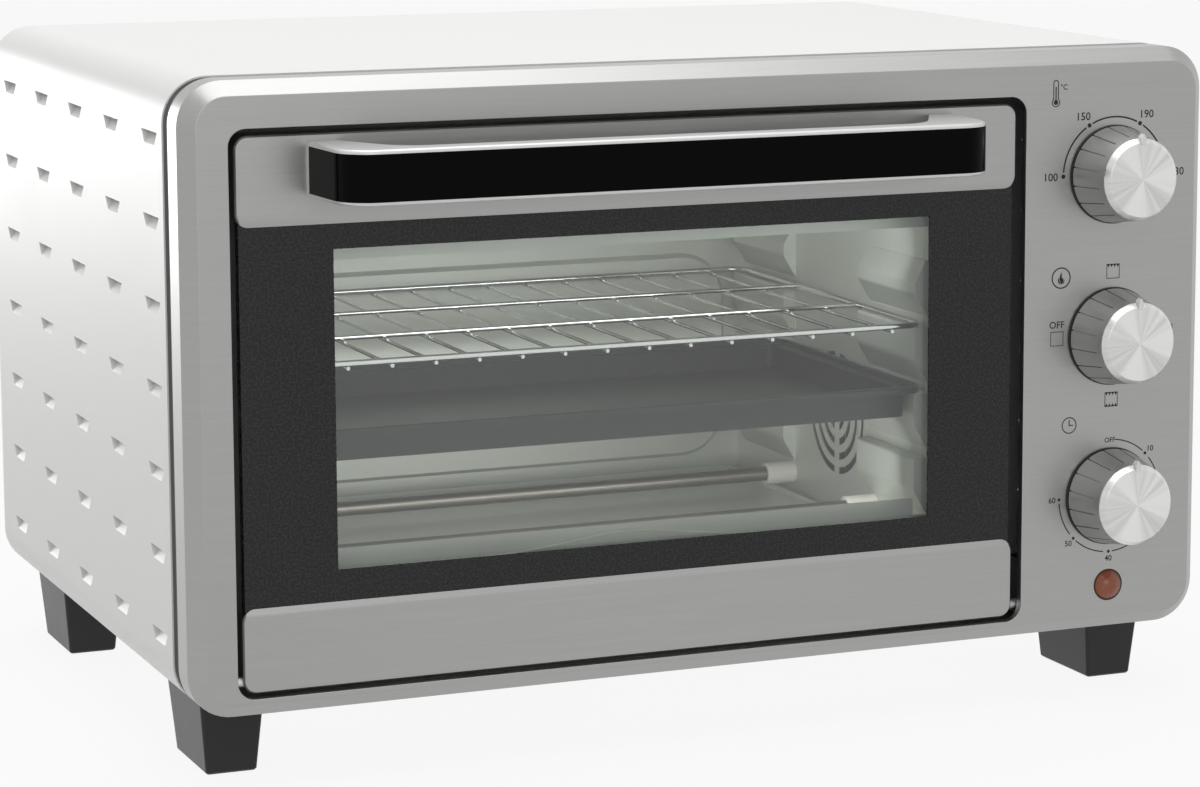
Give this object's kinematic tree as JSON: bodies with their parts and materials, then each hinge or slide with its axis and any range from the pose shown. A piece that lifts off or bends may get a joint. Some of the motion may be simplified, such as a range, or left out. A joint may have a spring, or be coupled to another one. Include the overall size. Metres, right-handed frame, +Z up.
{
  "type": "mini oven",
  "caption": "Countertop mini oven with a bottom-hinged glass door and bow handle, a knob panel with a pilot lamp, and a cavity with rack, baking tray, crumb tray and fan.",
  "frame": {"origin": "centre of the footprint, handle included, on the worktop under the feet", "axes": "+X to the user's right along the width, +Y towards the back, +Z up; the door faces -Y"},
  "size_m": [0.45, 0.3556, 0.28],
  "materials": {
    "white_steel": "satin white powder coat",
    "brushed_steel": "horizontal brushed grain",
    "dark_steel": "dark satin paint",
    "black_foot": "fine moulded texture",
    "zinc_steel": "bright zinc plate",
    "screw_steel": "zinc-plated",
    "clear_glass": "clear toughened glass with a smoky tint",
    "black_border": "black print with a fine speckle",
    "handle_silver": "satin silver",
    "gloss_black": "piano black",
    "cavity_steel": "aluminised sheet, softly reflective",
    "rod_steel": "oxidised stainless tube",
    "insulator": "unglazed ceramic",
    "bright_wire": "bright chrome plate",
    "tray_coating": "dark non-stick coating",
    "knob_silver": "satin silver",
    "knob_face": "spun face with a bright bevel",
    "pointer_white": "white",
    "black_ring": "satin black",
    "control_case": "moulded phenolic",
    "motor_case": "pressed steel",
    "fan_metal": "pressed sheet",
    "amber_lens": "clear amber-red moulding",
    "lamp_case": "white moulding",
    "shield": "bright sheet",
    "terminal": "white moulding",
    "gland": "satin black"
  },
  "bodies": {
    "casing": {"outer_shell": "white_steel", "front_bezel": "brushed_steel", "front_frame": "dark_steel", "back_panel": "white_steel", "base_plate": "zinc_steel", "casing_screws": "screw_steel", "foot_front_left": "black_foot", "foot_front_right": "black_foot", "foot_rear_left": "black_foot", "foot_rear_right": "black_foot", "foot_screws": "screw_steel", "hinge_brackets": "zinc_steel", "door_springs": "screw_steel", "cavity_left_wall": "cavity_steel", "cavity_right_wall": "cavity_steel", "cavity_back_wall": "cavity_steel", "cavity_roof": "cavity_steel", "cavity_floor": "cavity_steel", "rod_insulators": "insulator", "lower_heating_rods": "rod_steel", "upper_heating_rods": "rod_steel", "fan_housing": "zinc_steel", "fan_motor": "motor_case", "knob_washers": "black_ring", "thermostat": "control_case", "mode_switch": "control_case", "timer": "control_case", "lamp_lens": "amber_lens", "lamp_body": "lamp_case", "heat_shield": "shield", "terminal_block": "terminal", "cord_gland": "gland"},
    "door": {"door_glass": "clear_glass", "glass_border": "black_border", "door_top_trim": "brushed_steel", "door_bottom_trim": "brushed_steel", "glass_clamps": "zinc_steel", "door_handle": "handle_silver", "handle_inlay": "gloss_black", "handle_screws": "screw_steel", "hinge_arms": "zinc_steel", "hinge_pins": "zinc_steel"},
    "rack": {"wire_rack": "bright_wire"},
    "tray": {"baking_tray": "tray_coating"},
    "crumb_drawer": {"crumb_tray": "cavity_steel"},
    "fan": {"fan_wheel": "fan_metal", "fan_shaft": "zinc_steel"},
    "temperature_control": {"temperature_knob": "knob_silver", "temperature_knob_face": "knob_face", "temperature_knob_pointer": "pointer_white", "temperature_shaft": "zinc_steel"},
    "mode_control": {"mode_knob": "knob_silver", "mode_knob_face": "knob_face", "mode_knob_pointer": "pointer_white", "mode_shaft": "zinc_steel"},
    "timer_control": {"timer_knob": "knob_silver", "timer_knob_face": "knob_face", "timer_knob_pointer": "pointer_white", "timer_shaft": "zinc_steel"}
  },
  "joints": [
    {"name": "door_hinge", "type": "hinge", "parent": "casing", "child": "door", "pos_m": [0, -0.13225, 0.0435], "axis": [1, 0, 0], "range_deg": [0, 85], "stiffness_Nm_per_rad": 0.45, "springref_deg": -34.38},
    {"name": "rack_slide", "type": "slide", "parent": "casing", "child": "rack", "axis": [0, -1, 0], "range_m": [0, 0.15]},
    {"name": "tray_slide", "type": "slide", "parent": "casing", "child": "tray", "axis": [0, -1, 0], "range_m": [0, 0.13]},
    {"name": "crumb_slide", "type": "slide", "parent": "casing", "child": "crumb_drawer", "axis": [0, -1, 0], "range_m": [0, 0.05]},
    {"name": "temperature_turn", "type": "hinge", "parent": "casing", "child": "temperature_control", "pos_m": [0.1802, -0.13925, 0.2271], "axis": [0, 1, 0], "range_deg": [-90, 90]},
    {"name": "mode_turn", "type": "hinge", "parent": "casing", "child": "mode_control", "pos_m": [0.1802, -0.13925, 0.15785], "axis": [0, 1, 0], "range_deg": [-90, 180]},
    {"name": "timer_turn", "type": "hinge", "parent": "casing", "child": "timer_control", "pos_m": [0.1802, -0.13925, 0.0886], "axis": [0, 1, 0], "range_deg": [0, 270]},
    {"name": "fan_spin", "type": "hinge", "parent": "casing", "child": "fan", "pos_m": [0.11, -0.02625, 0.112], "axis": [1, 0, 0], "continuous": true}
  ],
  "couplings": [
    {"joint": "rack_slide", "follows": "door_hinge", "m_per_rad": 0.1011},
    {"joint": "tray_slide", "follows": "door_hinge", "m_per_rad": 0.0876},
    {"joint": "crumb_slide", "follows": "door_hinge", "m_per_rad": 0.0337}
  ]
}
